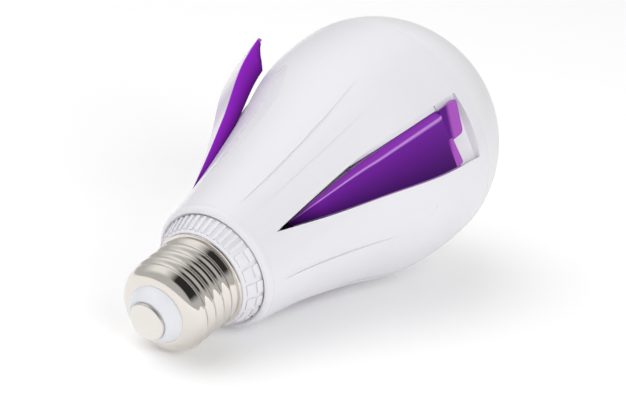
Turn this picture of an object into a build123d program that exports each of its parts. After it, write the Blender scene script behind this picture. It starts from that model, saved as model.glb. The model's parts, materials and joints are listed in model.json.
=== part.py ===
from build123d import *
import math
import os

os.makedirs("parts", exist_ok=True)

# Rechargeable lamp with an Edison screw cap, a flared white housing, a frosted
# globe and three swing-out wings that lie in pockets of the housing.
# Every piece is modelled upright: the axis is Z and the contact face is at z = 0.
# The finished lamp is then laid on its side, the way it comes to rest.

# Screw cap, millimetres
contact_r = 5.4
contact_t = 1.2
rivet_r = 2.0
insulator_r = 8.4
insulator_z = 4.4
insulator_depth = 3.0
crest_r = 13.1
root_r = 12.2
thread_pitch = 3.63
thread_turns = 3
first_crest_z = 8.3
band_r = 13.2
flange_r = 13.7
flange_z = 23.4
flange_t = 0.7
cap_wall = 0.6

# Collar with its vent slits
collar_r = 15.9
collar_z = 30.1
collar_wall = 1.8
spigot_length = 3.2
vent_count = 32
vent_width = 0.7
vent_depth = 0.8
vent_share = 0.55
collar_gap = 0.4

# Housing and globe: radii of the outside at even heights from neck to widest
neck_z = 31.5
neck_r = 18.4
lower_r = 22.3
middle_r = 27.8
widest_z = 109.8
widest_r = 36.2
upper_taper = 1.7
upper_r = widest_r - upper_taper
dome_rise = 34.2
housing_wall = 1.8
globe_wall = 1.5
seam_z = 113.2
seam_gap = 0.15
skirt_gap = 0.1
skirt_length = 2.6
lip_z = 29.0
lip_ledge = 1.6
ledge_width = 2.0

# Pockets and wings; s is measured round the lamp, square to the pocket's own
# radial line, and z is the height
wing_count = 3
first_wing_deg = 15.0
apex_z = 37.7
pocket_end_z = 108.3
straight_edge = (-2.4, -4.5, -6.5, -7.0, -6.3)
slant_edge = (-2.4, 2.6, 6.8, 11.0, 13.6)
pocket_floor_apex = 5.0
pocket_floor_end = 9.0
shelf_depth = 3.4
shelf_gap = 0.6
tray_wall = 1.4
tray_tip = 3.7
side_gap = 0.4
near_gap = 1.8
wing_start_z = 42.4
wing_end_z = 99.4
wing_recess = 0.3
bevel_width = 1.9
bevel_drop = 1.3
wing_depth_start = 1.6
wing_depth_end = 7.0
wing_skin = 1.5
end_rake_deg = 48.0
lip_t = 1.2
lip_inset = 0.5
lip_notch = 0.4
lip_reach = 5.5
lip_slant = 1.7
lip_width = 9.6
low_lip_reach = 0.9

# Hinge at the narrow end of each wing
hinge_z = 44.5
hinge_drop = 3.9
barrel_r = 1.5
barrel_length = 5.0
root_width = 1.0
barrel_gap = 0.35
pin_r = 0.75
pin_fit = 0.06
pin_seat = 1.6
hinge_block_h = 7.5
hinge_block_lift = 0.6
left_wing_open_deg = 9.3
rest_offset = 15.0

# Shallow flutes moulded in the housing: first edge, width and lean in degrees
flute_depth = 0.45
flute_z0 = 35.5
flute_z1 = 88.0
plain_flute_deg = (-28.6, 14.0, 0.0)
leaning_flute_deg = (42.0, 12.0, -5.5)

# Light source
sink_t = 2.0
sink_gap = 0.6
board_t = 1.6
board_margin = 2.0
emitter_size = (3.5, 2.8, 0.7)
emitter_margin = 4.5
emitter_ring_count = 3
chips_in_first_ring = 6
screw_inset = 4.5
screw_head_r = 2.6
screw_head_h = 1.2
screw_shank_r = 1.4
screw_length = 8.6
screw_slot_width = 0.7
boss_r = 3.2
boss_height = 12.0
boss_web_t = 2.0

# Cell, holder and driver
cell_r = 9.15
cell_length = 65.0
cell_gap = 0.2
cell_button_r = 3.0
cell_button_h = 1.0
cell_edge_r = 0.6
holder_wall = 1.4
holder_floor = 1.6
window_width = 9.0
window_z = 12.0
terminal_t = 0.5
terminal_r = 6.5
driver_bite = 1.0
driver_t = 1.6
driver_foot_z = 11.0
transformer_size = (6.5, 6.0, 8.0)
capacitor_r = 3.2
capacitor_length = 9.0
inductor_r = 2.6
inductor_flange = 1.0
inductor_length = 5.0
driver_part_gap = 1.0
transformer_drop = 5.0
part_seat = 0.02
lead_r = 0.5


def smooth(values, z0, z1, z, flat_end=False):
    """Smooth curve through values at even heights from z0 to z1."""
    last = len(values) - 1
    place = min(float(last), max(0.0, (z - z0) / (z1 - z0) * last))
    i = min(int(place), last - 1)
    u = place - i
    slopes = [values[1] - values[0]]
    slopes += [(values[k + 1] - values[k - 1]) / 2 for k in range(1, last)]
    slopes.append(0.0 if flat_end else values[last] - values[last - 1])
    return (
        values[i] * (2 * u**3 - 3 * u**2 + 1)
        + slopes[i] * (u**3 - 2 * u**2 + u)
        + values[i + 1] * (3 * u**2 - 2 * u**3)
        + slopes[i + 1] * (u**3 - u**2)
    )


def body_r(z):
    """Outside radius of the lamp at a height z, from the neck to the tip."""
    if z >= widest_z:
        rise = min(1.0, (z - widest_z) / dome_rise)
        return widest_r * math.sqrt(1.0 - rise * rise)
    radii = (neck_r, lower_r, middle_r, upper_r, widest_r)
    return smooth(radii, neck_z, widest_z, z, flat_end=True)


def meridian(z0, z1, inset, points=12):
    """Curve in the XZ plane that follows the lamp's outside at an inset."""
    heights = [z0 + (z1 - z0) * k / (points - 1) for k in range(points)]
    return Spline(*[(body_r(z) - inset(z), 0, z) for z in heights])


def closed(curve, *corners):
    """Face between a curve and the corners that lead back to its start."""
    edge = Polyline(curve @ 1, *[(r, 0, z) for r, z in corners], curve @ 0)
    return make_face([curve, *edge.edges()])


def turned(*points):
    """Solid of revolution about the axis from a closed outline of (r, z)."""
    corners = [(r, 0, z) for r, z in points]
    return revolve(make_face(Polyline(*corners, close=True).edges()), Axis.Z)


def tube(outer, inner, z0, z1):
    return turned((inner, z0), (outer, z0), (outer, z1), (inner, z1))


def rod(radius, z0, z1, x=0.0, y=0.0):
    return Pos(x, y, (z0 + z1) / 2) * Cylinder(radius, z1 - z0)


def block(size, x, y, z):
    return Pos(x, y, z) * Box(*size)


def wing_angles():
    return [first_wing_deg + 360 / wing_count * k for k in range(wing_count)]


# Cap: contact rivet, insulator and threaded shell

def make_centre_contact():
    disc = rod(contact_r, 0, contact_t)
    disc = fillet(disc.edges().group_by(Axis.Z)[0], contact_t * 0.4)
    return disc + rod(rivet_r, contact_t, insulator_z + insulator_depth)


def make_contact_insulator():
    foot = contact_t * 0.75
    seat_r = contact_r + 0.05
    dome = ThreePointArc(
        (contact_r + 0.5, 0, foot),
        (contact_r + 0.62 * (insulator_r - contact_r), 0, foot + 0.34 * (insulator_z - foot)),
        (insulator_r, 0, insulator_z),
    )
    back = Polyline(
        dome @ 1,
        (insulator_r, 0, insulator_z + insulator_depth),
        (rivet_r, 0, insulator_z + insulator_depth),
        (rivet_r, 0, contact_t),
        (seat_r, 0, contact_t),
        (seat_r, 0, foot),
        dome @ 0,
    )
    return revolve(make_face([dome, *back.edges()]), Axis.Z)


def cap_outline():
    """Outside of the screw shell, from the insulator up to the flange."""
    shoulder = (root_r, first_crest_z - thread_pitch / 2)
    edges = [
        ThreePointArc(
            (insulator_r, 0, insulator_z),
            (insulator_r + 0.74 * (shoulder[0] - insulator_r), 0, insulator_z + 0.3 * (shoulder[1] - insulator_z)),
            (shoulder[0], 0, shoulder[1]),
        )
    ]
    for turn in range(thread_turns + 1):
        z = first_crest_z + turn * thread_pitch
        edges.append(
            ThreePointArc(
                (root_r, 0, z - thread_pitch / 2),
                (crest_r, 0, z),
                (root_r, 0, z + thread_pitch / 2),
            )
        )
    return edges


def make_screw_shell():
    edges = cap_outline()
    top = edges[-1] @ 1
    outside = Polyline(
        top,
        (band_r, 0, top.Z + 0.5),
        (band_r, 0, flange_z - flange_t / 2),
        (flange_r, 0, flange_z - flange_t / 2),
        (flange_r, 0, flange_z + flange_t / 2),
        (root_r - cap_wall, 0, flange_z + flange_t / 2),
        (root_r - cap_wall, 0, insulator_z + insulator_depth),
        (insulator_r, 0, insulator_z + insulator_depth),
        (insulator_r, 0, insulator_z),
    )
    return revolve(make_face(edges + list(outside.edges())), Axis.Z)


def make_vent_collar():
    sleeve_r = root_r - cap_wall
    top = flange_z + flange_t / 2
    bore = sleeve_r - collar_wall
    ring = turned(
        (bore, insulator_z + insulator_depth),
        (sleeve_r, insulator_z + insulator_depth),
        (sleeve_r, top),
        (flange_r + 0.1, top),
        (flange_r + 0.4, top + 0.4),
        (collar_r, collar_z),
        (collar_r, collar_z + spigot_length),
        (bore, collar_z + spigot_length),
    )
    slope = math.degrees(math.atan2(collar_z - top, collar_r - flange_r))
    length = (collar_z - top) * vent_share
    middle_z = (collar_z + top) / 2 + 0.3
    middle_r = (collar_r + flange_r) / 2 + 0.25
    slit = Pos(middle_r, 0, middle_z) * Rot(0, -slope, 0) * Box(length, vent_width, vent_depth * 2)
    for k in range(vent_count):
        ring -= Rot(0, 0, 360 / vent_count * k) * slit
    slot = (driver_t + part_seat * 2, driver_width() + part_seat * 2, collar_z)
    return ring - block(slot, 0, 0, driver_foot_z + collar_z / 2)


# Pockets: outlines in (s, z), cut straight through along the radial line

def straight_s(z):
    """Edge of the pocket that runs along the lamp."""
    return smooth(straight_edge, apex_z, pocket_end_z, z)


def slant_s(z):
    """Edge of the pocket that runs out sideways to the wide end."""
    return smooth(slant_edge, apex_z, pocket_end_z, z)


def apex_s():
    return (straight_edge[0] + slant_edge[0]) / 2


def pocket_outline(grow):
    """Outline of the pocket's mouth, or of the tray round it."""
    heights = [apex_z + (pocket_end_z - apex_z) * k / 8 for k in range(9)]
    straight = Spline(*[(0, straight_s(z) - grow, z) for z in heights])
    slant = Spline(*[(0, slant_s(z) + grow, z) for z in heights])
    if not grow:
        return make_face([straight, slant, Line(straight @ 1, slant @ 1)])
    top = pocket_end_z + grow
    far_end = Polyline(straight @ 1, (0, (straight @ 1).Y, top), (0, (slant @ 1).Y, top), slant @ 1)
    near_end = Polyline(straight @ 0, (0, apex_s(), apex_z - tray_tip), slant @ 0)
    return make_face([straight, slant, *far_end.edges(), *near_end.edges()])


def pocket_floor(z):
    u = (z - apex_z) / (pocket_end_z - apex_z)
    return pocket_floor_apex + (pocket_floor_end - pocket_floor_apex) * min(1.0, max(0.0, u))


def inner_core(extra):
    """Solid of revolution under the pocket floors and the shelves under the lips."""
    top = seam_z
    floor = meridian(lip_z, top, lambda z: pocket_floor(z) + extra)
    shelf_z = wing_end_z + shelf_gap + extra
    shelf = meridian(shelf_z, top, lambda z: shelf_depth + extra)
    core = revolve(closed(floor, (0, top), (0, lip_z)), Axis.Z)
    return core + revolve(closed(shelf, (0, top), (0, shelf_z)), Axis.Z)


def radial_prism(face):
    return extrude(face, amount=widest_r + 10, dir=(1, 0, 0))


def hinge_x():
    return body_r(hinge_z) - hinge_drop


def hinge_s():
    """Middle of the pocket's mouth above the hinge."""
    return (straight_s(hinge_z) + slant_s(hinge_z)) / 2


def hinge_place():
    return Pos(hinge_x(), hinge_s(), hinge_z) * Rot(90, 0, 0)


def make_housing_blank():
    curve = meridian(neck_z, seam_z, lambda z: 0.0, 16)
    inner_lip = collar_r + collar_gap
    lip = ThreePointArc(
        (inner_lip + 0.7, 0, lip_z),
        (neck_r - 0.35, 0, lip_z + 0.8),
        (neck_r, 0, neck_z),
    )
    corners = Polyline(
        curve @ 1,
        (0, 0, seam_z),
        (0, 0, neck_z),
        (inner_lip, 0, neck_z),
        (inner_lip, 0, lip_z + 0.7),
        (inner_lip + 0.7, 0, lip_z),
    )
    return revolve(make_face([curve, lip, *corners.edges()]), Axis.Z)


def flute(start_deg, width_deg, lean_deg):
    """Sliver between the outside and a curve that dips under it and returns."""
    span = flute_z1 - flute_z0

    def dip(z):
        return flute_depth * math.sin(math.pi * (z - flute_z0) / span) ** 0.6

    low = meridian(flute_z0, flute_z1, dip)
    high = Polyline(low @ 1, (body_r(flute_z1) + 2, 0, flute_z1), (body_r(flute_z0) + 2, 0, flute_z0), low @ 0)
    sliver = Rot(0, 0, start_deg) * revolve(make_face([low, *high.edges()]), Axis.Z, width_deg)
    if not lean_deg:
        return sliver
    middle = math.radians(start_deg + width_deg / 2)
    radial = Axis((0, 0, (flute_z0 + flute_z1) / 2), (math.cos(middle), math.sin(middle), 0))
    return sliver.rotate(radial, lean_deg)


def make_body_housing():
    blank = make_housing_blank()
    ledge_z = collar_z + spigot_length
    room_curve = meridian(ledge_z + lip_ledge, seam_z, lambda z: housing_wall)
    room = revolve(closed(room_curve, (0, seam_z), (0, ledge_z + lip_ledge)), Axis.Z)
    room += rod(collar_r, neck_z, ledge_z)
    room += rod(collar_r - ledge_width, ledge_z, ledge_z + lip_ledge)
    shell = blank - room
    tray_core = inner_core(tray_wall)
    tray_one = (radial_prism(pocket_outline(tray_wall)) - tray_core) & blank
    block_size = (2 * (barrel_r + barrel_gap + tray_wall), barrel_length + 2 * (pin_seat + barrel_gap), hinge_block_h)
    tray_one += block(block_size, hinge_x(), hinge_s(), hinge_z + hinge_block_lift) & blank
    boss_z = pocket_end_z + tray_wall
    well = hinge_place() * Cylinder(barrel_r + barrel_gap, barrel_length + 2 * barrel_gap)
    pin_hole = hinge_place() * Cylinder(pin_r, barrel_length + 2 * (barrel_gap + pin_seat) - 0.4)
    cavity = radial_prism(pocket_outline(0)) - inner_core(0)
    cut_one = cavity + well + pin_hole
    for angle in wing_angles():
        shell += Rot(0, 0, angle) * tray_one
    for angle in wing_angles():
        shell -= Rot(0, 0, angle) * cut_one
    for angle in wing_angles():
        boss_angle = angle + 360 / wing_count / 2
        shell += Rot(0, 0, boss_angle) * make_sink_boss(boss_z)
        for first, width, lean in (plain_flute_deg, leaning_flute_deg):
            offset = angle - first_wing_deg
            shell -= flute(first + offset, width, lean)
    return shell


def make_sink_boss(top_z):
    """Post on the inside wall that carries the heat sink and takes a screw."""
    low_z = top_z - boss_height
    ring_r = screw_ring_r()
    reach = body_r(low_z) - housing_wall / 2
    post = rod(boss_r, low_z, top_z, ring_r)
    web = block((reach - ring_r, boss_web_t, boss_height), (reach + ring_r) / 2, 0, (low_z + top_z) / 2)
    hole = rod(screw_shank_r, top_z - screw_length, top_z, ring_r)
    return post + web - hole


# Wings: each section is cut square to the axis at a height z

def along(z):
    """Share of the way from the wing's narrow end to its wide end."""
    return (z - wing_start_z) / (wing_end_z - wing_start_z)


def near_s(z):
    return straight_s(z) + near_gap * min(1.0, 0.2 + 1.3 * along(z))


def far_s(z):
    return slant_s(z) - side_gap


def ridge_at(z):
    bevel = bevel_width * min(1.0, 0.1 + 1.6 * along(z))
    return min(near_s(z) + bevel, (near_s(z) + far_s(z)) / 2)


def skin_x(z, s):
    r = body_r(z) - wing_recess
    return math.sqrt(r * r - s * s)


def wing_corners(z, skin=0.0):
    """Corners of the wing's section; skin moves them inward for the hollow."""
    u = along(z)
    depth = wing_depth_start + (wing_depth_end - wing_depth_start) * u
    drop = bevel_drop * min(1.0, 0.15 + 1.5 * u)
    draft = 0.03 * depth
    foot = depth + skin
    s_near, s_far = near_s(z) + skin, far_s(z) - skin
    s_ridge = ridge_at(z) + skin / 2
    return [
        (skin_x(z, s_ridge) - skin, s_ridge),
        (skin_x(z, s_far) - skin, s_far),
        (skin_x(z, s_far) - foot, s_far - draft),
        (skin_x(z, s_near) - foot, s_near + draft),
        (skin_x(z, s_near) - drop - skin, s_near),
    ]


def section(corners, z):
    return make_face(Polyline(*[(x, s, z) for x, s in corners], close=True).edges())


def face_point(z, s):
    """Point on the wing's broad face at a height z and a place s."""
    ridge, far = ridge_at(z), far_s(z)
    x0, x1 = skin_x(z, ridge), skin_x(z, far)
    return (x0 + (x1 - x0) * (s - ridge) / (far - ridge), s)


def lip_blade(s0, s1, z0, z1):
    """Thin lip that carries on the broad face past the wing's end wall."""
    faces = []
    for z in (z0, (z0 + z1) / 2, z1):
        x_a, x_b = face_point(z, s0)[0], face_point(z, s1)[0]
        faces.append(section([(x_a, s0), (x_b, s1), (x_b - lip_t, s1), (x_a - lip_t, s0)], z))
    return loft(faces, ruled=True)


def make_wing_lips():
    """Thumb lips past the end wall: a long one by the ridge and a short one."""
    s0 = near_s(wing_end_z) + lip_inset
    s1 = s0 + lip_width
    z0 = wing_end_z - wing_skin
    long_lip = lip_blade(s0, s1, z0, wing_end_z + lip_reach + lip_slant)
    slant_deg = math.degrees(math.atan2(lip_slant, lip_width))
    trim = Pos(0, (s0 + s1) / 2, wing_end_z + lip_reach) * Rot(-slant_deg, 0, 0)
    long_lip -= trim * block((4 * widest_r, 3 * lip_width, widest_r), 0, 0, widest_r / 2)
    short_lip = lip_blade(s1 + lip_notch, far_s(wing_end_z) - 0.1, z0, wing_end_z + low_lip_reach)
    return long_lip + short_lip


def make_wing():
    heights = [wing_start_z + (wing_end_z - wing_start_z) * k / 5 for k in range(6)]
    blade = loft([section(wing_corners(z), z) for z in heights])
    hollow_z0 = wing_start_z + 0.3 * (wing_end_z - wing_start_z)
    hollow_z = [hollow_z0 + (wing_end_z - wing_skin - hollow_z0) * k / 3 for k in range(4)]
    blade -= loft([section(wing_corners(z, wing_skin), z) for z in hollow_z])
    end_x = skin_x(wing_end_z, far_s(wing_end_z)) - lip_t
    rake = Pos(end_x, 0, wing_end_z) * Rot(0, -end_rake_deg, 0)
    blade -= rake * block((widest_r, 2 * widest_r, widest_r / 2), -widest_r / 2, 0, widest_r / 4)
    barrel = hinge_place() * Cylinder(barrel_r, barrel_length)
    root_top = skin_x(hinge_z, hinge_s()) - wing_depth_start / 2
    root_size = (root_top - hinge_x(), root_width, barrel_r * 2)
    root = block(root_size, (root_top + hinge_x()) / 2, hinge_s(), hinge_z + 0.6)
    blade = blade + make_wing_lips() + barrel + root
    return blade - hinge_place() * Cylinder(pin_r + pin_fit, barrel_length + 2)


def make_hinge_pin():
    return hinge_place() * Cylinder(pin_r, barrel_length + 2 * (barrel_gap + pin_seat) - 0.4)


# Globe and light source

def dome_points(inset, z0):
    start = math.asin((z0 - widest_z) / (dome_rise - inset))
    turns = [start + (math.pi / 2 - start) * k / 9 for k in range(10)]
    return [((widest_r - inset) * math.cos(t), 0, widest_z + (dome_rise - inset) * math.sin(t)) for t in turns]


def skirt_r():
    """Outside of the globe's skirt, which slides into the housing."""
    return body_r(seam_z) - housing_wall - skirt_gap


def make_globe_diffuser():
    rim_z = seam_z + seam_gap
    outer_points = dome_points(0, rim_z)
    inner_points = dome_points(globe_wall, rim_z)
    outer = Spline(*outer_points[:-1], (0, 0, widest_z + dome_rise), tangents=[(-0.1, 0, 1), (-1, 0, 0)])
    inner = Spline(*inner_points[:-1], (0, 0, widest_z + dome_rise - globe_wall), tangents=[(-0.1, 0, 1), (-1, 0, 0)])
    loop = [
        outer,
        Line(outer @ 1, inner @ 1),
        inner,
        *Polyline(
            inner @ 0,
            (skirt_r() - globe_wall, 0, rim_z),
            (skirt_r() - globe_wall, 0, rim_z - skirt_length),
            (skirt_r(), 0, rim_z - skirt_length),
            (skirt_r(), 0, rim_z),
            outer @ 0,
        ).edges(),
    ]
    return revolve(make_face(loop), Axis.Z)


def sink_z():
    return pocket_end_z + tray_wall


def sink_r():
    return skirt_r() - globe_wall - sink_gap


def board_r():
    return sink_r() - board_margin


def screw_ring_r():
    return sink_r() - screw_inset


def screw_spots():
    """Centres of the heat sink screws, half way between the wings."""
    spots = []
    for angle in wing_angles():
        turn = math.radians(angle + 360 / wing_count / 2)
        spots.append((screw_ring_r() * math.cos(turn), screw_ring_r() * math.sin(turn)))
    return spots


def make_heat_sink():
    sink = rod(sink_r(), sink_z(), sink_z() + sink_t)
    for x, y in screw_spots():
        sink -= rod(screw_shank_r, sink_z() - 1, sink_z() + sink_t + 1, x, y)
    return sink


def make_led_board():
    z0 = sink_z() + sink_t
    board = rod(board_r(), z0, z0 + board_t)
    for x, y in screw_spots():
        board -= rod(screw_shank_r, z0 - 1, z0 + board_t + 1, x, y)
    return board


def make_led_emitters():
    z0 = sink_z() + sink_t + board_t
    height = emitter_size[2]
    outer_ring = board_r() - emitter_margin
    chips = []
    for ring in range(1, emitter_ring_count + 1):
        radius = outer_ring * ring / emitter_ring_count
        count = chips_in_first_ring * ring
        for k in range(count):
            turn = 360 / count * (k + 0.5) + first_wing_deg + 360 / wing_count / 2
            chips.append(Rot(0, 0, turn) * block(emitter_size, radius, 0, z0 + height / 2))
    return Compound(children=chips)


def make_board_screws():
    z0 = sink_z() + sink_t + board_t
    screws = []
    for x, y in screw_spots():
        screw = rod(screw_head_r, z0, z0 + screw_head_h, x, y)
        screw += rod(screw_shank_r, z0 - screw_length, z0, x, y)
        screw -= block((screw_head_r * 1.5, screw_slot_width, screw_head_h), x, y, z0 + screw_head_h)
        screws.append(screw)
    return Compound(children=screws)


# Cell, holder and driver, stacked on the axis under the heat sink

def cell_z():
    """Height of the cell's flat end, under its button and terminal plate."""
    return sink_z() - 1.0 - 2 * terminal_t - cell_button_h - cell_length


def holder_r():
    return cell_r + cell_gap


def make_battery_cell():
    z0 = cell_z()
    can = rod(cell_r, z0, z0 + cell_length)
    can = fillet(can.edges().filter_by(GeomType.CIRCLE), cell_edge_r)
    return can + rod(cell_button_r, z0 + cell_length - 0.1, z0 + cell_length + cell_button_h)


def make_battery_holder():
    z0 = cell_z() - terminal_t - holder_floor
    outer = holder_r() + holder_wall
    tube_part = tube(outer, holder_r(), z0 + holder_floor, sink_z())
    tube_part += rod(outer, z0, z0 + holder_floor)
    height = cell_length - 2 * window_z
    for angle in wing_angles():
        window = block((outer * 2, window_width, height), outer, 0, cell_z() + cell_length / 2)
        tube_part -= Rot(0, 0, angle) * window
    tube_part -= block((driver_t + 2 * part_seat, 2 * outer + 2, 1.0), 0, 0, z0 + 0.5)
    return tube_part


def make_battery_terminals():
    low = rod(terminal_r, cell_z() - terminal_t, cell_z())
    top_z = cell_z() + cell_length + cell_button_h
    high = rod(terminal_r, top_z, top_z + terminal_t)
    bridge = tube(holder_r(), terminal_r - 1.5, top_z + terminal_t, top_z + 2 * terminal_t)
    return Compound(children=[low, high + bridge])


def driver_width():
    """The board slides in two slots cut in the bore of the collar."""
    return 2 * (root_r - cap_wall - collar_wall + driver_bite)


def driver_top_z():
    return cell_z() - terminal_t - holder_floor + 1.0


def make_driver_board():
    height = driver_top_z() - driver_foot_z
    return block((driver_t, driver_width(), height), 0, 0, driver_foot_z + height / 2)


def make_driver_transformer():
    depth, width, height = transformer_size
    z = driver_top_z() - transformer_drop - height / 2
    core = block((depth, width, height), driver_t / 2 + depth / 2, 0, z)
    winding = block((depth * 0.7, width + 3.0, height * 0.6), driver_t / 2 + depth * 0.35, 0, z)
    return core + winding


def make_driver_capacitor():
    z0 = driver_foot_z + driver_part_gap
    can = rod(capacitor_r, z0, z0 + capacitor_length, -driver_t / 2 - capacitor_r)
    return fillet(can.edges().filter_by(GeomType.CIRCLE), 0.4)


def make_driver_inductor():
    z = driver_foot_z + driver_part_gap + inductor_r
    place = Pos(driver_t / 2 + inductor_length / 2, 0, z) * Rot(0, 90, 0)
    waist_length = inductor_length - 2 * inductor_flange
    waist = Cylinder(inductor_r + 1, waist_length) - Cylinder(inductor_r * 0.8, inductor_length)
    return place * (Cylinder(inductor_r, inductor_length) - waist)


def make_contact_lead():
    return rod(lead_r, insulator_z + insulator_depth, driver_foot_z)


# Laying the lamp down: the third pocket faces the floor, and the lamp lies on the
# lowest thread crest and on the wing in that pocket

def rest_turn():
    """Direction, round the axis, of the middle of the pocket that is under it."""
    z = (wing_end_z + widest_z) / 2 - rest_offset
    near = math.asin(straight_s(z) / body_r(z))
    far = math.asin(slant_s(z) / body_r(z))
    return wing_angles()[1] + math.degrees(near + far) / 2, (far - near) / 2


def rest_rise():
    """Angle of the axis to the floor, in degrees."""
    half = rest_turn()[1]
    steepest = 0.0
    for k in range(60):
        z = hinge_z + (pocket_end_z - hinge_z) * k / 59
        lift = (body_r(z) * math.cos(half) - crest_r) / (z - first_crest_z)
        steepest = max(steepest, lift)
    return math.degrees(math.atan(steepest))


def lying():
    return Rot(0, 90 - rest_rise(), 0) * Rot(0, 0, -rest_turn()[0])


def opened(wing, angle_deg):
    return wing.rotate(Axis((hinge_x(), 0, hinge_z), (0, 1, 0)), angle_deg)


def make_parts():
    angles = wing_angles()
    pieces = {
        "centre_contact": make_centre_contact(),
        "contact_insulator": make_contact_insulator(),
        "screw_shell": make_screw_shell(),
        "vent_collar": make_vent_collar(),
        "body_housing": make_body_housing(),
        "globe_diffuser": make_globe_diffuser(),
        "heat_sink": make_heat_sink(),
        "led_board": make_led_board(),
        "led_emitters": make_led_emitters(),
        "board_screws": make_board_screws(),
        "battery_cell": make_battery_cell(),
        "battery_holder": make_battery_holder(),
        "battery_terminals": make_battery_terminals(),
        "driver_board": make_driver_board(),
        "driver_transformer": make_driver_transformer(),
        "driver_capacitor": make_driver_capacitor(),
        "driver_inductor": make_driver_inductor(),
        "contact_lead": make_contact_lead(),
    }
    wing = make_wing()
    pin = make_hinge_pin()
    opening = {"right": 0.0, "under": 0.0, "left": left_wing_open_deg}
    for name, angle in zip(("right", "under", "left"), angles):
        pieces["wing_" + name] = Rot(0, 0, angle) * opened(wing, opening[name])
        pieces["hinge_pin_" + name] = Rot(0, 0, angle) * pin
    return pieces


if __name__ == "__main__":
    placed = lying()
    for name, piece in make_parts().items():
        export_step(placed * piece, os.path.join("parts", name + ".step"))
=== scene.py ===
"""Dresses a rechargeable screw-cap lamp with swing-out wings, lying on a pale floor."""

import json
import math

import bmesh
import bpy
from mathutils import Matrix, Vector


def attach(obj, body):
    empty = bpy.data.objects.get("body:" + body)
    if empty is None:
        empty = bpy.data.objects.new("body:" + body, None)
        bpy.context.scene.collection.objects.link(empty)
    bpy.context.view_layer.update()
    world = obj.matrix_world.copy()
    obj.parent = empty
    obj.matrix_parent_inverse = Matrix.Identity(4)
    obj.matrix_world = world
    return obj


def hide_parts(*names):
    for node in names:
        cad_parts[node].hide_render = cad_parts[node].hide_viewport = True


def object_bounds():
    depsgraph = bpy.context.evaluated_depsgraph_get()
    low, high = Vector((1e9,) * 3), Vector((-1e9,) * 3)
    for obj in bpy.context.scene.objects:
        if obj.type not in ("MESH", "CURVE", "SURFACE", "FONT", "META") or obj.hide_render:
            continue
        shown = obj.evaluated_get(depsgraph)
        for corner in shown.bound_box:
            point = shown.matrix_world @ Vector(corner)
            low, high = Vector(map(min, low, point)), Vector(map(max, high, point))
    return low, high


bl_info = {
    "name": "Rechargeable lamp",
    "version": (1, 0, 0),
    "blender": (4, 5, 0),
    "location": "3D view, sidebar, Lamp",
    "description": "Makes the metal cap, white shell, globe and purple wings of a lamp",
    "category": "Object",
}

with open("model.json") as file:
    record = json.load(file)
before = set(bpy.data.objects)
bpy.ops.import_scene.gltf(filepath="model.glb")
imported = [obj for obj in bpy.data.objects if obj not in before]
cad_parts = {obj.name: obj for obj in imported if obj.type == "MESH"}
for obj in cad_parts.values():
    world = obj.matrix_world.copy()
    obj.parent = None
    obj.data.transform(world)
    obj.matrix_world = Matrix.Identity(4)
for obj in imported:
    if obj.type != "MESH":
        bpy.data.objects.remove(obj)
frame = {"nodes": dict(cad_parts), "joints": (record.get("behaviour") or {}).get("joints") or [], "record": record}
CAD_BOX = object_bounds()

MM = 0.001
WING_DEG = {"right": 15.0, "under": 135.0, "left": 255.0}


def mount(name):
    return next(m for m in frame["record"]["mounts"] if m["name"] == name)


def joint(name):
    return next(j for j in frame["joints"] if j["name"] == name)


def lamp_frame():
    """Turns the lamp's own upright frame, axis up, into the frame of the lying lamp."""
    axis = -Vector(mount("centre_contact")["axis"]).normalized()
    round_way = Vector(joint("wing_right_hinge")["axis"]).normalized()
    outward = round_way.cross(axis)
    turn = math.radians(WING_DEG["right"])
    x = outward * math.cos(turn) - round_way * math.sin(turn)
    y = outward * math.sin(turn) + round_way * math.cos(turn)
    return Matrix((x, y, axis)).transposed().to_4x4()


LAMP = lamp_frame()
LAMP_UP = LAMP.to_3x3().col[2]


# Geometry helpers

def new_piece(name, bm, body, slot, *nodes):
    """Makes an object from a bmesh in the lamp's own frame and lays it down."""
    bmesh.ops.transform(bm, matrix=LAMP @ Matrix.Scale(MM, 4), verts=bm.verts)
    mesh = bpy.data.meshes.new(name)
    bm.to_mesh(mesh)
    bm.free()
    piece = bpy.data.objects.new(name, mesh)
    bpy.context.scene.collection.objects.link(piece)
    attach(piece, body)
    if nodes:
        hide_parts(*nodes)
    return piece


def spun(points, steps):
    """Surface turned round the axis from an outline of (r, z) points."""
    bm = bmesh.new()
    verts = [bm.verts.new((r, 0.0, z)) for r, z in points]
    edges = [bm.edges.new(pair) for pair in zip(verts, verts[1:])]
    bmesh.ops.spin(
        bm,
        geom=verts + edges,
        cent=(0.0, 0.0, 0.0),
        axis=(0.0, 0.0, 1.0),
        angle=math.tau,
        steps=steps,
        use_merge=True,
    )
    bmesh.ops.remove_doubles(bm, verts=bm.verts, dist=1e-4)
    bmesh.ops.recalc_face_normals(bm, faces=bm.faces)
    return bm


def smooth_shaded(bm, sharp_deg):
    """Smooth faces that meet in sharp edges from an angle on."""
    for face in bm.faces:
        face.smooth = True
    limit = math.radians(sharp_deg)
    for edge in bm.edges:
        edge.smooth = len(edge.link_faces) == 2 and edge.calc_face_angle(0.0) < limit


def through(values, z0, z1, z, flat_end=False):
    """Smooth curve through values at even heights from z0 to z1."""
    last = len(values) - 1
    place = min(float(last), max(0.0, (z - z0) / (z1 - z0) * last))
    i = min(int(place), last - 1)
    u = place - i
    slopes = [values[1] - values[0]]
    slopes += [(values[k + 1] - values[k - 1]) / 2 for k in range(1, last)]
    slopes.append(0.0 if flat_end else values[last] - values[last - 1])
    return (
        values[i] * (2 * u**3 - 3 * u**2 + 1)
        + slopes[i] * (u**3 - 2 * u**2 + u)
        + values[i + 1] * (3 * u**2 - 2 * u**3)
        + slopes[i + 1] * (u**3 - u**2)
    )


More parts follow.
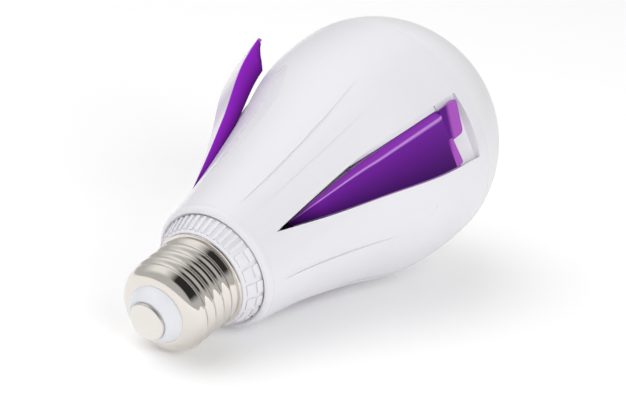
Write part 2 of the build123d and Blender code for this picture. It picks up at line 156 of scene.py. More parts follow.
def outside_r(shell, z):
    """Outside radius of the lamp at a height z, from the neck to the tip."""
    if z >= shell.widest_z:
        rise = min(1.0, (z - shell.widest_z) / shell.dome_rise)
        return shell.radii[4] * math.sqrt(1.0 - rise * rise)
    return through(shell.radii, shell.neck_z, shell.widest_z, z, flat_end=True)


def rounded(corners, radii):
    """Outline whose corners are rounded off by short curves."""
    curve_steps = 6
    points = []
    for k, (corner, radius) in enumerate(zip(corners, radii)):
        here = Vector(corner)
        back = (Vector(corners[k - 1]) - here).normalized() * radius
        ahead = (Vector(corners[(k + 1) % len(corners)]) - here).normalized() * radius
        count = curve_steps if radius else 0
        for j in range(count + 1):
            t = j / max(1, count)
            points.append(here + back * (1 - t) ** 2 + ahead * t**2)
    return points


def join_rings(bm, rings):
    """Faces between closed rings of points, with both ends closed."""
    count = len(rings[0])
    for low, high in zip(rings, rings[1:]):
        for k in range(count):
            after = (k + 1) % count
            bm.faces.new((low[k], low[after], high[after], high[k]))
    bm.faces.new(rings[0])
    bm.faces.new(reversed(rings[-1]))


def curved_block(bm, start_deg, width_deg, low, high, height):
    """Raised block on a cone between two (r, z) points and two directions."""
    steps = 4
    slope = Vector(high) - Vector(low)
    out = Vector((slope.y, -slope.x)).normalized() * height
    corners = (Vector(low) - out, Vector(high) - out, Vector(high) + out, Vector(low) + out)
    rings = []
    for k in range(steps + 1):
        turn = math.radians(start_deg + width_deg * k / steps)
        across, around = math.cos(turn), math.sin(turn)
        rings.append([bm.verts.new((c.x * across, c.x * around, c.y)) for c in corners])
    join_rings(bm, rings)


# Places across a wing, as its map holds them, from one wall over the face to the other
NEAR_FOOT, NEAR_EDGE, RIDGE, LIP, CROWN, FAR_FOOT = -0.5, 0.0, 0.15, 0.5, 1.0, 1.3

# Hinge's place in that map, at the narrow end where the painted shade is darkest, and lean of a wing's walls as a
# share of their depth
HINGE_PLACE = (0.6, 0.0)
WALL_DRAFT = 0.03


class WingForm:
    """Sections of a wing: x points outward, s runs round the lamp, z along it."""

    def __init__(self, wing, shell):
        self.wing = wing
        self.shell = shell

    def along(self, z):
        """Place along the wing, 0 at its narrow end and 1 at its wide end."""
        return (z - self.wing.start_z) / (self.wing.end_z - self.wing.start_z)

    def grown(self, z, start, rate):
        """Share of a full size that grows along the wing from its narrow end."""
        return min(1.0, start + rate * self.along(z))

    def near(self, z):
        edge = through(self.wing.straight_edge, self.wing.apex_z, self.wing.pocket_end_z, z)
        return edge + self.wing.near_gap * self.grown(z, start=0.2, rate=1.3)

    def far(self, z):
        edge = through(self.wing.slant_edge, self.wing.apex_z, self.wing.pocket_end_z, z)
        return edge - self.wing.side_gap

    def crown(self, z):
        """Top of the slanted edge, which closes the gap once it is clear of the hinge."""
        ease_start, ease_length = 0.06, 0.4
        clear = min(1.0, max(0.0, (self.along(z) - ease_start) / ease_length))
        return self.far(z) + (self.wing.side_gap - self.wing.edge_gap) * clear

    def ridge(self, z):
        width = self.wing.bevel_width * self.grown(z, start=0.1, rate=1.6)
        return min(self.near(z) + width, (self.near(z) + self.far(z)) / 2)

    def skin(self, z, s):
        r = outside_r(self.shell, z) - self.wing.recess
        return math.sqrt(r * r - s * s)

    def depth(self, z):
        wing = self.wing
        return wing.depth_start + (wing.depth_end - wing.depth_start) * self.along(z)

    def face(self, z, s, sink):
        """Point under the broad face by the length sink."""
        ridge, far = self.ridge(z), self.far(z)
        x0, x1 = self.skin(z, ridge), self.skin(z, far)
        return Vector((x0 + (x1 - x0) * (s - ridge) / (far - ridge) - sink, s, z))

    def section(self, z, deep_z, depth_share, bevel_share):
        """Corners of one section with their place across the wing, ridge first."""
        wing = self.wing
        near = self.near(z)
        ridge = near + (self.ridge(z) - near) * bevel_share
        drop = wing.bevel_drop * self.grown(z, start=0.15, rate=1.5) * bevel_share
        depth = self.depth(deep_z) * depth_share
        draft = WALL_DRAFT * depth
        deep_far, deep_near = self.far(deep_z), self.near(deep_z)
        crown = self.crown(z)
        return [
            (RIDGE, (self.skin(z, ridge), ridge, z)),
            (CROWN, (self.skin(z, crown), crown, z)),
            (FAR_FOOT, (self.skin(deep_z, deep_far) - depth, deep_far - draft, deep_z)),
            (NEAR_FOOT, (self.skin(deep_z, deep_near) - depth, deep_near + draft, deep_z)),
            (NEAR_EDGE, (self.skin(z, near) - drop, near, z)),
        ]


# Shader helpers

class Signal:
    """A shader socket that takes part in formulas written in Python."""

    def __init__(self, finish, socket):
        self.finish = finish
        self.socket = socket

    def combined(self, operation, first, second):
        return self.finish.node("ShaderNodeMath", {"operation": operation}, {0: first, 1: second})

    def __add__(self, other):
        return self.combined("ADD", self, other)

    def __rsub__(self, other):
        return self.combined("SUBTRACT", other, self)

    def __mul__(self, other):
        return self.combined("MULTIPLY", self, other)

    def greater_of(self, other):
        return self.combined("MAXIMUM", self, other)

    def angle_from(self, other):
        """Angle in radians of the direction (other, self)."""
        return self.combined("ARCTAN2", self, other)


class Finish:
    """One material with its Principled shader."""

    def __init__(self, name):
        self.material = bpy.data.materials.new(name)
        self.material.use_nodes = True
        self.tree = self.material.node_tree
        self.shader = self.tree.nodes["Principled BSDF"]

    def node(self, kind, settings=None, inputs=None, out=0):
        """Adds a node: its settings first, then the values or links of its sockets."""
        made = self.tree.nodes.new(kind)
        for key, value in (settings or {}).items():
            if key == "stops":
                self.set_stops(made.color_ramp, value)
            else:
                setattr(made, key, value)
        for key, value in (inputs or {}).items():
            self.feed(made.inputs[key], value)
        return Signal(self, made.outputs[out])

    def set_stops(self, ramp, stops):
        while len(ramp.elements) < len(stops):
            ramp.elements.new(0.5)
        for element, (place, colour) in zip(ramp.elements, stops):
            element.position = place
            element.color = (*colour, 1.0)

    def feed(self, socket, value):
        if isinstance(value, Signal):
            self.tree.links.new(value.socket, socket)
        else:
            socket.default_value = value

    def set(self, **values):
        """Sets or links sockets of the shader; underscores stand for spaces."""
        for key, value in values.items():
            self.feed(self.shader.inputs[key.replace("_", " ")], value)

    def place(self):
        return self.node("ShaderNodeTexCoord", out="Object")

    def noise(self, scale, detail=2.0, place=None):
        inputs = {"Vector": place or self.place(), "Scale": scale, "Detail": detail}
        return self.node("ShaderNodeTexNoise", None, inputs)

    def between(self, signal, low, high, from_low=0.0, from_high=1.0):
        """Maps a range of a signal to the range from low to high, and stops at both."""
        inputs = {
            "Value": signal,
            "From Min": from_low,
            "From Max": from_high,
            "To Min": low,
            "To Max": high,
        }
        return self.node("ShaderNodeMapRange", {"clamp": True}, inputs)

    def window(self, signal, rise_from, rise_to, fall_from, fall_to):
        """One between the rise and the fall of a signal, and nought outside them."""
        rising = self.between(signal, 0.0, 1.0, rise_from, rise_to)
        return rising * self.between(signal, 1.0, 0.0, fall_from, fall_to)

    def mixed(self, factor, first, second):
        """Mixes two colours, each a tuple or a signal."""
        inputs = {0: factor}
        for socket, colour in ((6, first), (7, second)):
            inputs[socket] = (*colour, 1.0) if isinstance(colour, tuple) else colour
        return self.node("ShaderNodeMix", {"data_type": "RGBA"}, inputs, out=2)

    def bumped(self, height, strength, distance):
        inputs = {"Height": height, "Strength": strength, "Distance": distance}
        return self.node("ShaderNodeBump", None, inputs)


class SkyFinish(Finish):
    """The studio round the lamp, shaded by the direction of each ray."""

    def __init__(self, world):
        self.tree = world.node_tree
        self.background = self.tree.nodes["Background"]

    def part_along(self, way, axis):
        settings = {"operation": "DOT_PRODUCT"}
        return self.node("ShaderNodeVectorMath", settings, {0: way, 1: axis}, out="Value")

    def shade(self, strength):
        self.feed(self.background.inputs["Color"], (1.0, 1.0, 1.0, 1.0))
        self.feed(self.background.inputs["Strength"], strength)


# Where most values of a noise lie
NOISE_RANGE = (0.3, 0.7)


def dress(material, *objects):
    for piece in objects:
        piece.data.materials.clear()
        piece.data.materials.append(material)


def scaled(colour, share):
    return tuple(c * share for c in colour)


def moulded(name, colour, roughness, coat=0.0):
    """Moulded plastic with a faint grain and slightly uneven gloss."""
    finish = Finish(name)
    fine = finish.noise(scale=1200.0)
    broad = finish.noise(scale=60.0)
    finish.set(
        Base_Color=finish.mixed(fine, scaled(colour, 0.99), colour),
        Roughness=finish.between(broad, roughness * 0.96, roughness * 1.04),
        Normal=finish.bumped(fine, strength=0.02, distance=0.00005),
        Coat_Weight=coat,
        Coat_Roughness=0.08,
    )
    return finish


def metal(name, colour, low, high, streak=(300.0, 300.0, 300.0)):
    """Bare metal whose fine rolling marks vary its roughness from low to high."""
    finish = Finish(name)
    place = finish.node("ShaderNodeMapping", None, {"Vector": finish.place(), "Scale": streak})
    marks = finish.noise(scale=1.0, detail=3.0, place=place)
    finish.set(
        Base_Color=finish.mixed(marks, scaled(colour, 0.94), colour),
        Metallic=1.0,
        Roughness=finish.between(marks, low, high, *NOISE_RANGE),
        Normal=finish.bumped(marks, strength=0.03, distance=0.00003),
    )
    return finish


# Sizes and colours that a user would change

class LampCapSettings(bpy.types.PropertyGroup):
    foot_r: bpy.props.FloatProperty(
        name="Foot radius", description="Radius where the shell grips the insulator, mm",
        default=8.4,
    )
    foot_z: bpy.props.FloatProperty(
        name="Foot height", description="Height of that edge above the contact, mm", default=4.4
    )
    crest_r: bpy.props.FloatProperty(
        name="Crest radius", description="Radius of the thread's crests, mm", default=13.1
    )
    root_r: bpy.props.FloatProperty(
        name="Root radius", description="Radius of the thread's roots, mm", default=12.2
    )
    pitch: bpy.props.FloatProperty(
        name="Pitch", description="Rise of the thread in one turn, mm", default=3.63
    )
    thread_z0: bpy.props.FloatProperty(
        name="Thread start", description="Height where the thread starts, mm", default=8.2
    )
    thread_z1: bpy.props.FloatProperty(
        name="Thread end", description="Height where the thread ends, mm", default=20.6
    )
    band_r: bpy.props.FloatProperty(
        name="Band radius", description="Radius of the smooth band, mm", default=13.2
    )
    flange_r: bpy.props.FloatProperty(
        name="Flange radius", description="Radius of the thin flange, mm", default=13.7
    )
    flange_z: bpy.props.FloatProperty(
        name="Flange height", description="Middle of the flange, mm", default=23.4
    )
    colour: bpy.props.FloatVectorProperty(
        name="Colour", description="Nickel plating", subtype="COLOR", size=3,
        default=(0.78, 0.74, 0.69),
    )


class LampShellSettings(bpy.types.PropertyGroup):
    neck_z: bpy.props.FloatProperty(
        name="Neck height", description="Height of the housing's narrow end, mm", default=31.5
    )
    widest_z: bpy.props.FloatProperty(
        name="Widest height", description="Height of the widest place, mm", default=109.8
    )
    dome_rise: bpy.props.FloatProperty(
        name="Dome rise", description="Height of the tip above the widest place, mm", default=34.2
    )
    radii: bpy.props.FloatVectorProperty(
        name="Radii", description="Outside radii at even heights up to the widest place, mm",
        size=5, default=(18.4, 22.3, 27.8, 34.5, 36.2),
    )
    seam_z: bpy.props.FloatProperty(
        name="Seam height", description="Height where the globe meets the housing, mm",
        default=113.2,
    )
    globe_wall: bpy.props.FloatProperty(
        name="Globe wall", description="Wall of the globe, mm", default=1.5
    )
    collar_low: bpy.props.FloatVectorProperty(
        name="Collar's narrow edge", description="Radius and height, mm", size=2,
        default=(14.1, 24.15),
    )
    collar_high: bpy.props.FloatVectorProperty(
        name="Collar's wide edge", description="Radius and height, mm", size=2, default=(16.2, 30.1)
    )
    rib_count: bpy.props.IntProperty(
        name="Ribs", description="Louvre ribs on one half of the collar", default=22
    )
    panel_count: bpy.props.IntProperty(
        name="Panels", description="Raised panels on the other half of the collar", default=11
    )
    white: bpy.props.FloatVectorProperty(
        name="Housing white", description="Glossy housing", subtype="COLOR", size=3,
        default=(0.80, 0.79, 0.83),
    )
    globe: bpy.props.FloatVectorProperty(
        name="Globe white", description="Frosted globe", subtype="COLOR", size=3,
        default=(0.82, 0.82, 0.84),
    )
    opal: bpy.props.FloatVectorProperty(
        name="Insulator white", description="Domed insulator", subtype="COLOR", size=3,
        default=(0.77, 0.78, 0.82),
    )


class LampWingSettings(bpy.types.PropertyGroup):
    apex_z: bpy.props.FloatProperty(
        name="Pocket start", description="Height of the pocket's pointed end, mm", default=37.7
    )
    pocket_end_z: bpy.props.FloatProperty(
        name="Pocket end", description="Height of the pocket's wide end, mm", default=108.3
    )
    straight_edge: bpy.props.FloatVectorProperty(
        name="Straight edge",
        description="Places of the pocket's straight edge at even heights, mm", size=5,
        default=(-2.4, -4.5, -6.5, -7.0, -6.3),
    )
    slant_edge: bpy.props.FloatVectorProperty(
        name="Slanted edge", description="Places of the pocket's slanted edge at even heights, mm",
        size=5, default=(-2.4, 2.6, 6.8, 11.0, 13.6),
    )
    start_z: bpy.props.FloatProperty(
        name="Wing start", description="Height of the wing's narrow end, mm", default=42.4
    )
    end_z: bpy.props.FloatProperty(
        name="Wing end", description="Height of the wing's wide end without its lips, mm",
        default=99.4,
    )
    shelf_depth: bpy.props.FloatProperty(
        name="Shelf depth", description="Depth of the shelf below the lips' face, mm", default=1.5
    )
    ledge_z: bpy.props.FloatProperty(
        name="Ledge start", description="Height where the ledge in the pocket starts, mm",
        default=70.0,
    )
    ledge_start: bpy.props.FloatProperty(
        name="Ledge depth at start", description="Depth of the ledge under the skin, mm",
        default=3.2,
    )
    ledge_end: bpy.props.FloatProperty(
        name="Ledge depth at end", description="Depth of the ledge by the lips, mm", default=0.8
    )
    ledge_gap: bpy.props.FloatProperty(
        name="Ledge gap", description="Gap between the ledge and the wing, mm", default=0.2
    )
    near_gap: bpy.props.FloatProperty(
        name="Wide gap", description="Gap along the straight edge, mm", default=1.8
    )
    side_gap: bpy.props.FloatProperty(
        name="Narrow gap", description="Gap along the slanted edge, mm", default=0.4
    )
    edge_gap: bpy.props.FloatProperty(
        name="Edge gap", description="Gap beside the top of the slanted edge, mm", default=0.12
    )
    recess: bpy.props.FloatProperty(
        name="Recess", description="How far the wing lies under the outside, mm", default=0.3
    )
    bevel_width: bpy.props.FloatProperty(
        name="Bevel width", description="Width of the bevel along the ridge, mm", default=1.9
    )
    bevel_drop: bpy.props.FloatProperty(
        name="Bevel drop", description="Drop of that bevel, mm", default=1.3
    )
    depth_start: bpy.props.FloatProperty(
        name="Depth at start", description="Depth of the wing at its narrow end, mm", default=1.6
    )
    depth_end: bpy.props.FloatProperty(
        name="Depth at end", description="Depth of the wing at its wide end, mm", default=7.0
    )
    end_curve: bpy.props.FloatProperty(
        name="End curve", description="Length over which the wing's end curves up to its lips, mm",
        default=4.2,
    )
    rake: bpy.props.FloatProperty(
        name="Rake", description="Length of the wing's back as a share of its face", default=0.925
    )
    lip_t: bpy.props.FloatProperty(
        name="Lip thickness", description="Thickness of the thumb lips, mm", default=1.2
    )
    lip_width: bpy.props.FloatProperty(
        name="Lip width", description="Width of the long lip, mm", default=9.6
    )
    lip_reach: bpy.props.FloatProperty(
        name="Lip reach", description="Reach of the long lip past the wing, mm", default=8.2
    )
    open_reach: bpy.props.FloatProperty(
        name="Open lip reach", description="Reach of the open wing's long lip, mm", default=6.6
    )
    hinge_z: bpy.props.FloatProperty(
        name="Hinge height", description="Height of the hinge pin, mm", default=44.5
    )
    hinge_drop: bpy.props.FloatProperty(
        name="Hinge drop", description="Depth of the hinge pin under the outside, mm", default=3.9
    )
    barrel_r: bpy.props.FloatProperty(
        name="Barrel radius", description="Radius of the hinge barrel, mm", default=1.5
    )
    barrel_length: bpy.props.FloatProperty(
        name="Barrel length", description="Length of the hinge barrel, mm", default=5.0
    )
    left_open: bpy.props.FloatProperty(
        name="Left wing", description="Angle at which the left wing stands open, degrees",
        default=9.3,
    )
    face: bpy.props.FloatVectorProperty(
        name="Face by the ridge", description="Purple of the broad face beside its ridge",
        subtype="COLOR", size=3, default=(0.150, 0.013, 0.305),
    )
    # Painted shade: the face darkens towards the slanted edge as it turns from the light; this purple is also the
    # base of the painted shade at the narrow end.
    dark: bpy.props.FloatVectorProperty(
        name="Face by the slant", description="Darker purple along the slanted edge",
        subtype="COLOR", size=3, default=(0.040, 0.001, 0.095),
    )
    # Side wall painted a lighter purple than the face for the light it catches; in the wing's purple it is painted
    # lighter still by the slanted edge and darker at its foot, as painted light and shade.
    wall: bpy.props.FloatVectorProperty(
        name="Side wall", description="Purple of the side wall under the slanted edge",
        subtype="COLOR", size=3, default=(0.21, 0.016, 0.39),
    )
    # Painted sheen: the pale colour the face is painted where it is seen edge on.
    sheen: bpy.props.FloatVectorProperty(
        name="Sheen", description="Pale look of the face when it is seen edge on", subtype="COLOR",
        size=3, default=(0.70, 0.64, 0.75),
    )
    # Painted light: the bevel is painted a lighter purple because it faces the light.
    bevel: bpy.props.FloatVectorProperty(
        name="Bevel", description="Lighter purple of the bevel", subtype="COLOR", size=3,
        default=(0.26, 0.035, 0.44),
    )
    highlight: bpy.props.FloatVectorProperty(
        name="Ridge", description="Pale line along the ridge", subtype="COLOR", size=3,
        default=(0.50, 0.24, 0.66),
    )
    # Painted light: the thin lips are painted brighter for the light showing through them.
    bright: bpy.props.FloatVectorProperty(
        name="Lips", description="Bright purple of the thin lips", subtype="COLOR", size=3,
        default=(0.40, 0.09, 0.51),
    )


class LampStageSettings(bpy.types.PropertyGroup):
    lens: bpy.props.FloatProperty(
        name="Lens", description="Focal length on a 36 mm sensor, mm", default=126.5
    )
    camera_place: bpy.props.FloatVectorProperty(
        name="Camera", description="Place of the camera in the lamp's frame, mm", size=3,
        default=(443.04, 0.0, -355.47),
    )
    camera_aim: bpy.props.FloatVectorProperty(
        name="Aim", description="Point that the camera looks at, mm", size=3,
        default=(0.0, 2.872, 73.51),
    )
    climb: bpy.props.FloatProperty(
        name="Climb", description="Angle at which the lamp's axis climbs in the picture, degrees",
        default=38.695,
    )
    floor_size: bpy.props.FloatProperty(
        name="Floor", description="Side of the floor, m", default=6.0
    )
    floor_glow: bpy.props.FloatProperty(
        name="Floor glow", description="Light added to the floor where it is seen", default=0.135
    )
    key_power: bpy.props.FloatProperty(
        name="Key light", description="Power of the large light, W", default=7.6
    )
    fill_power: bpy.props.FloatProperty(
        name="Fill light", description="Power of the fill light, W", default=7.1
    )
    sky_bright: bpy.props.FloatProperty(
        name="Studio", description="Brightness of the studio round the lamp", default=0.56
    )
    sky_window: bpy.props.FloatProperty(
        name="Window", description="Extra brightness of the studio at the upper left", default=0.45
    )
    sky_dark: bpy.props.FloatProperty(
        name="Flag", description="Brightness of the dark flag behind the camera", default=0.03
    )


SETTINGS = {
    "lamp_cap": LampCapSettings,
    "lamp_shell": LampShellSettings,
    "lamp_wing": LampWingSettings,
    "lamp_stage": LampStageSettings,
}


class LAMP_OT_cap(bpy.types.Operator):
    """Roll the metal screw cap with its true thread"""

    bl_idname = "lamp.cap"
    bl_label = "Screw cap"

    def execute(self, context):
        size = context.scene.lamp_cap
        bm = spun(self.outline(size), steps=144)
        for vert in bm.verts:
            self.roll(vert, size)
        smooth_shaded(bm, sharp_deg=60.0)
        cap = new_piece("cap_shell", bm, "housing", "cap_metal", "screw_shell")
        finish = metal("nickel", tuple(size.colour), low=0.07, high=0.16)
        dress(finish.material, cap)
        return {"FINISHED"}

    def outline(self, size):
        """Outside of the cap from the insulator to the flange, then back inside."""
        nose_steps, wall_steps = 16, 90
        half_thread, half_flange = 0.45, 0.35
        corner_r, corner_z = 0.1, 0.12
        inside_r, inside_z = size.root_r - 0.6, size.foot_z + 3.0
        low_z, high_z = size.flange_z - half_flange, size.flange_z + half_flange
        nose_r = size.root_r - size.foot_r + half_thread
        nose_z = size.thread_z0 - size.foot_z
        points = []
        for k in range(nose_steps + 1):
            turn = math.pi / 2 * k / nose_steps
            r = size.foot_r + nose_r * math.sin(turn)
            points.append((r, size.thread_z0 - nose_z * math.cos(turn)))
        for k in range(1, wall_steps + 1):
            z = size.thread_z0 + (size.thread_z1 - size.thread_z0) * k / wall_steps
            points.append((size.root_r + half_thread, z))
        points += [
            (size.band_r, size.thread_z1 + 0.6),
            (size.band_r - 0.35, low_z - 0.1),
            (size.flange_r - corner_r, low_z),
            (size.flange_r, low_z + corner_z),
            (size.flange_r, high_z - corner_z),
            (size.flange_r - corner_r, high_z),
            (inside_r, high_z),
            (inside_r, inside_z),
            (size.foot_r, inside_z),
            (size.foot_r, size.foot_z),
        ]
        return points

    def roll(self, vert, size):
        """Presses the thread into one point of the smooth wall."""
        low_z, high_z, run_out = size.thread_z0 - 1.0, size.thread_z1 + 0.3, 1.6
        radius = math.hypot(vert.co.x, vert.co.y)
        if radius < size.root_r or not low_z < vert.co.z < high_z:
            return
        turn = math.atan2(vert.co.y, vert.co.x)
        phase = (vert.co.z - size.thread_z0) / size.pitch - turn / math.tau
        wave = math.cos(math.tau * phase) * (size.crest_r - size.root_r) / 2
        rise = min(1.0, (vert.co.z - low_z) / run_out)
        fall = min(1.0, (high_z - vert.co.z) / run_out)
        scale = (radius + wave * rise * fall) / radius
        vert.co.x *= scale
        vert.co.y *= scale


class LAMP_OT_contact(bpy.types.Operator):
    """Finish the centre contact and its insulator"""

    bl_idname = "lamp.contact"
    bl_label = "Contact"

    def execute(self, context):
        nodes = frame["nodes"]
        streak = (60.0, 60.0, 60.0)
        plate = metal("contact_plate", (0.80, 0.77, 0.73), low=0.26, high=0.32, streak=streak)
        dress(plate.material, nodes["centre_contact"])
        shell = context.scene.lamp_shell
        opal = moulded("insulator_white", tuple(shell.opal), roughness=0.22)
        dress(opal.material, nodes["contact_insulator"])
        return {"FINISHED"}


class LAMP_OT_shell(bpy.types.Operator):
    """Finish the white housing and make its pocket ledges and the globe"""

    bl_idname = "lamp.shell"
    bl_label = "White shell"

    def execute(self, context):
        shell = context.scene.lamp_shell
        white = moulded("housing_white", tuple(shell.white), roughness=0.26, coat=0.25)
        ledges = self.make_ledges(WingForm(context.scene.lamp_wing, shell))
        dress(white.material, frame["nodes"]["body_housing"], ledges)
        globe = self.make_globe(shell)
        frosted = moulded("frosted_white", tuple(shell.globe), roughness=0.34)
        dress(frosted.material, globe)
        return {"FINISHED"}

    def make_ledges(self, form):
        """Ledge beside each wing's straight edge and shelf under its lips."""
        bm = bmesh.new()
        for angle in WING_DEG.values():
            fresh = self.add_ledge(bm, form) + self.add_shelf(bm, form)
            turn = Matrix.Rotation(math.radians(angle), 3, "Z")
            bmesh.ops.rotate(bm, matrix=turn, verts=fresh)
        bmesh.ops.recalc_face_normals(bm, faces=bm.faces)
        smooth_shaded(bm, sharp_deg=30.0)
        return new_piece("pocket_ledges", bm, "housing", "housing_plastic")

    def add_ledge(self, bm, form):
        """Ledge that rises towards the lips and is let into the pocket's wall."""
        wing = form.wing
        steps, thickness, let_in = 24, 1.2, 0.4
        rings = []
        for k in range(steps + 1):
            z = wing.ledge_z + (wing.end_z - wing.ledge_z) * k / steps
            left = (1.0 - k / steps) ** 2
            near = form.near(z) - wing.ledge_gap
            wall = form.near(z) - wing.near_gap - let_in
            top = form.skin(z, near) - wing.ledge_end - (wing.ledge_start - wing.ledge_end) * left
            base = top - thickness
            corners = ((top, near), (base, near), (base, wall), (top, wall))
            rings.append([bm.verts.new((x, s, z)) for x, s in corners])
        join_rings(bm, rings)
        return sum(rings, [])

    def add_shelf(self, bm, form):
        """Shelf that fills the pocket's wide end and is let into its walls."""
        wing = form.wing
        rows, columns, thickness, let_in = 6, 12, 1.5, 0.3
        low_z, high_z = wing.end_z + 0.4, wing.pocket_end_z + let_in
        rings = []
        for k in range(rows + 1):
            z = low_z + (high_z - low_z) * k / rows
            s0 = form.near(z) - wing.near_gap - let_in
            s1 = form.far(z) + wing.side_gap + let_in
            spots = [s0 + (s1 - s0) * j / columns for j in range(columns + 1)]
            top = [form.face(z, s, wing.shelf_depth) for s in spots]
            base = [form.face(z, s, wing.shelf_depth + thickness) for s in reversed(spots)]
            rings.append([bm.verts.new(point) for point in top + base])
        join_rings(bm, rings)
        return sum(rings, [])

    def make_globe(self, shell):
        """Thin dome whose rim covers the seam and whose skirt enters the housing."""
        cover, dome_ease, rim_steps = 0.02, 0.08, 10
        skirt_step, skirt_wall, skirt_length = 1.7, 1.5, 2.4
        rim_z = shell.seam_z - 0.1
        widest = shell.radii[4]
        start = math.asin((rim_z - shell.widest_z) / shell.dome_rise)

        def arc(steps):
            return [start + (math.pi / 2 - start) * k / steps for k in range(steps + 1)]

        outline = []
        for k, turn in enumerate(arc(48)):
            ease = dome_ease * min(1.0, k / rim_steps)
            z = shell.widest_z + (shell.dome_rise - ease) * math.sin(turn)
            outline.append(((widest + cover - ease) * math.cos(turn), z))
        for turn in reversed(arc(24)):
            z = shell.widest_z + (shell.dome_rise - shell.globe_wall) * math.sin(turn)
            outline.append(((widest - shell.globe_wall) * math.cos(turn), z))
        inner_r = outline[-1][0] - skirt_step
        outer_r = inner_r + skirt_wall
        outline += [(inner_r, rim_z), (inner_r, rim_z - skirt_length)]
        outline += [(outer_r, rim_z - skirt_length), (outer_r, rim_z), outline[0]]
        bm = spun(outline, steps=192)
        smooth_shaded(bm, sharp_deg=40.0)
        return new_piece("globe_dome", bm, "housing", "globe_plastic", "globe_diffuser")


class LAMP_OT_collar(bpy.types.Operator):
    """Make the white collar with its louvre ribs and raised panels"""

    bl_idname = "lamp.collar"
    bl_label = "Collar"

    def execute(self, context):
        shell = context.scene.lamp_shell
        low, high = tuple(shell.collar_low), tuple(shell.collar_high)
        bore_r, sleeve_r, step_r = 9.8, 11.55, 13.8
        foot_z, step_z, spigot_z = 7.5, 23.75, high[1] + 3.1
        foot = (bore_r, foot_z)
        outline = [foot, (sleeve_r, foot_z), (sleeve_r, step_z), (step_r, step_z), low, high]
        outline += [(high[0], spigot_z), (bore_r, spigot_z), foot]
        bm = spun(outline, steps=192)
        self.add_blocks(
            bm, low, high, start_deg=-163.0, span_deg=166.0, count=shell.rib_count,
            share=0.42, reach=(0.06, 0.86), height=0.5,
        )
        for reach in ((0.10, 0.50), (0.60, 0.90)):
            self.add_blocks(
                bm, low, high, start_deg=4.0, span_deg=190.0, count=shell.panel_count,
                share=0.74, reach=reach, height=0.38,
            )
        bmesh.ops.recalc_face_normals(bm, faces=bm.faces)
        smooth_shaded(bm, sharp_deg=30.0)
        collar = new_piece("collar_ring", bm, "housing", "collar_plastic", "vent_collar")
        finish = moulded("collar_white", tuple(shell.white), roughness=0.36)
        dress(finish.material, collar)
        return {"FINISHED"}

    def add_blocks(self, bm, low, high, start_deg, span_deg, count, share, reach, height):
        """Evenly spaced raised blocks, each a share of its pitch wide."""
        a, b = (Vector(low).lerp(Vector(high), part) for part in reach)
        pitch = span_deg / count
        for k in range(count):
            curved_block(bm, start_deg + pitch * k, pitch * share, a, b, height)


# Sections at the wing's wide end: place along the curve, share of depth, share of bevel
END_SECTIONS = ((0.3, 0.74, 1.0), (0.55, 0.5, 1.0), (0.8, 0.32, 0.95), (1.0, 0.22, 0.8))


